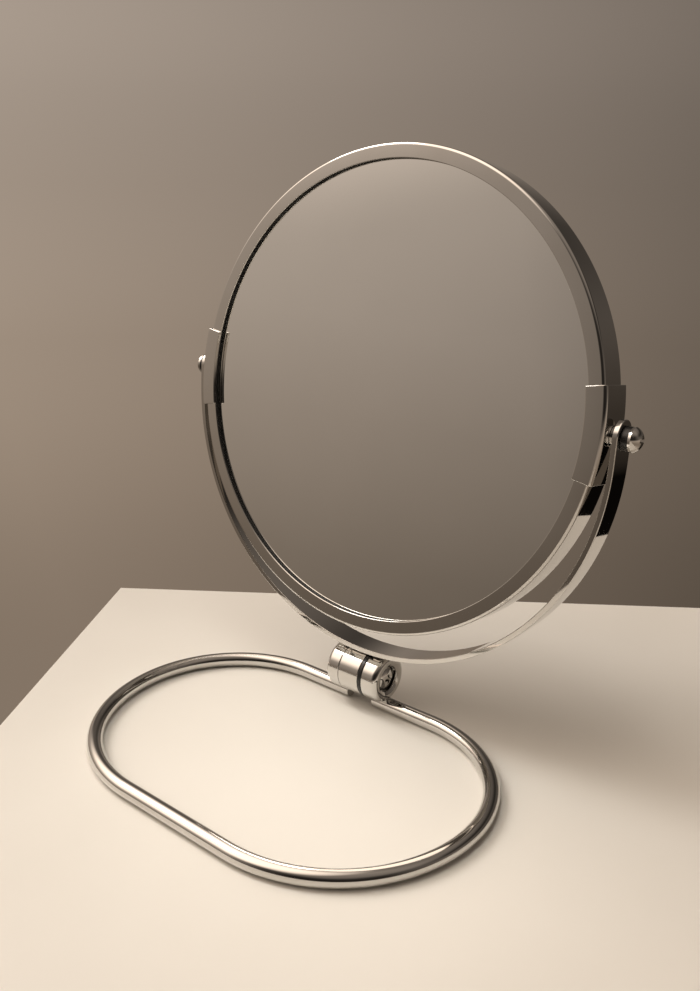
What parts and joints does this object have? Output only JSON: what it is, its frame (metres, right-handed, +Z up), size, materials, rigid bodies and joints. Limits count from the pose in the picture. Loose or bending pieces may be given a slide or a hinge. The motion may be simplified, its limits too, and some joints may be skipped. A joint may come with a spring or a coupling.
{
  "type": "tabletop swivel mirror",
  "caption": "Round double-sided make-up mirror in a chrome rim, swivelling in a yoke that folds on a friction hinge over a bent wire base.",
  "frame": {"origin": "on the table, under the middle of the base loop", "axes": "+Z up, -Y towards the user, +X to the user's right; both hinge axes run along X"},
  "size_m": [0.2034, 0.1341, 0.2184],
  "materials": {
    "bright_chrome": "bright chrome plate, polished",
    "plain_mirror_glass": "silvered flat glass",
    "magnifying_mirror_glass": "silvered concave glass",
    "black_seal": "matt black",
    "black_plastic": "satin black",
    "core_plastic": "plain moulded",
    "plain_steel": "bare steel"
  },
  "bodies": {
    "base": {"base_loop": "bright_chrome", "left_knuckle": "bright_chrome", "right_knuckle": "bright_chrome", "hinge_bolt": "bright_chrome", "seam_washer": "black_plastic", "friction_ring": "black_plastic", "spring_washer": "plain_steel"},
    "yoke": {"yoke_band": "bright_chrome", "centre_knuckle": "bright_chrome"},
    "head": {"rim_hoop": "bright_chrome", "left_clip": "bright_chrome", "right_clip": "bright_chrome", "left_spacer": "bright_chrome", "right_spacer": "bright_chrome", "left_pivot_screw": "bright_chrome", "right_pivot_screw": "bright_chrome", "front_glass": "plain_mirror_glass", "rear_glass": "magnifying_mirror_glass", "front_seal": "black_seal", "rear_seal": "black_seal", "core_disc": "core_plastic", "left_tension_washer": "black_plastic", "right_tension_washer": "black_plastic", "left_pivot_nut": "plain_steel", "right_pivot_nut": "plain_steel"}
  },
  "joints": [
    {"name": "fold", "type": "hinge", "parent": "base", "child": "yoke", "pos_m": [0, 0.052, 0.0145], "axis": [1, 0, 0], "range_deg": [-86, 85]},
    {"name": "head_tilt", "type": "hinge", "parent": "yoke", "child": "head", "pos_m": [0, 0.05915, 0.12807], "axis": [1, 0, 0], "continuous": true}
  ]
}
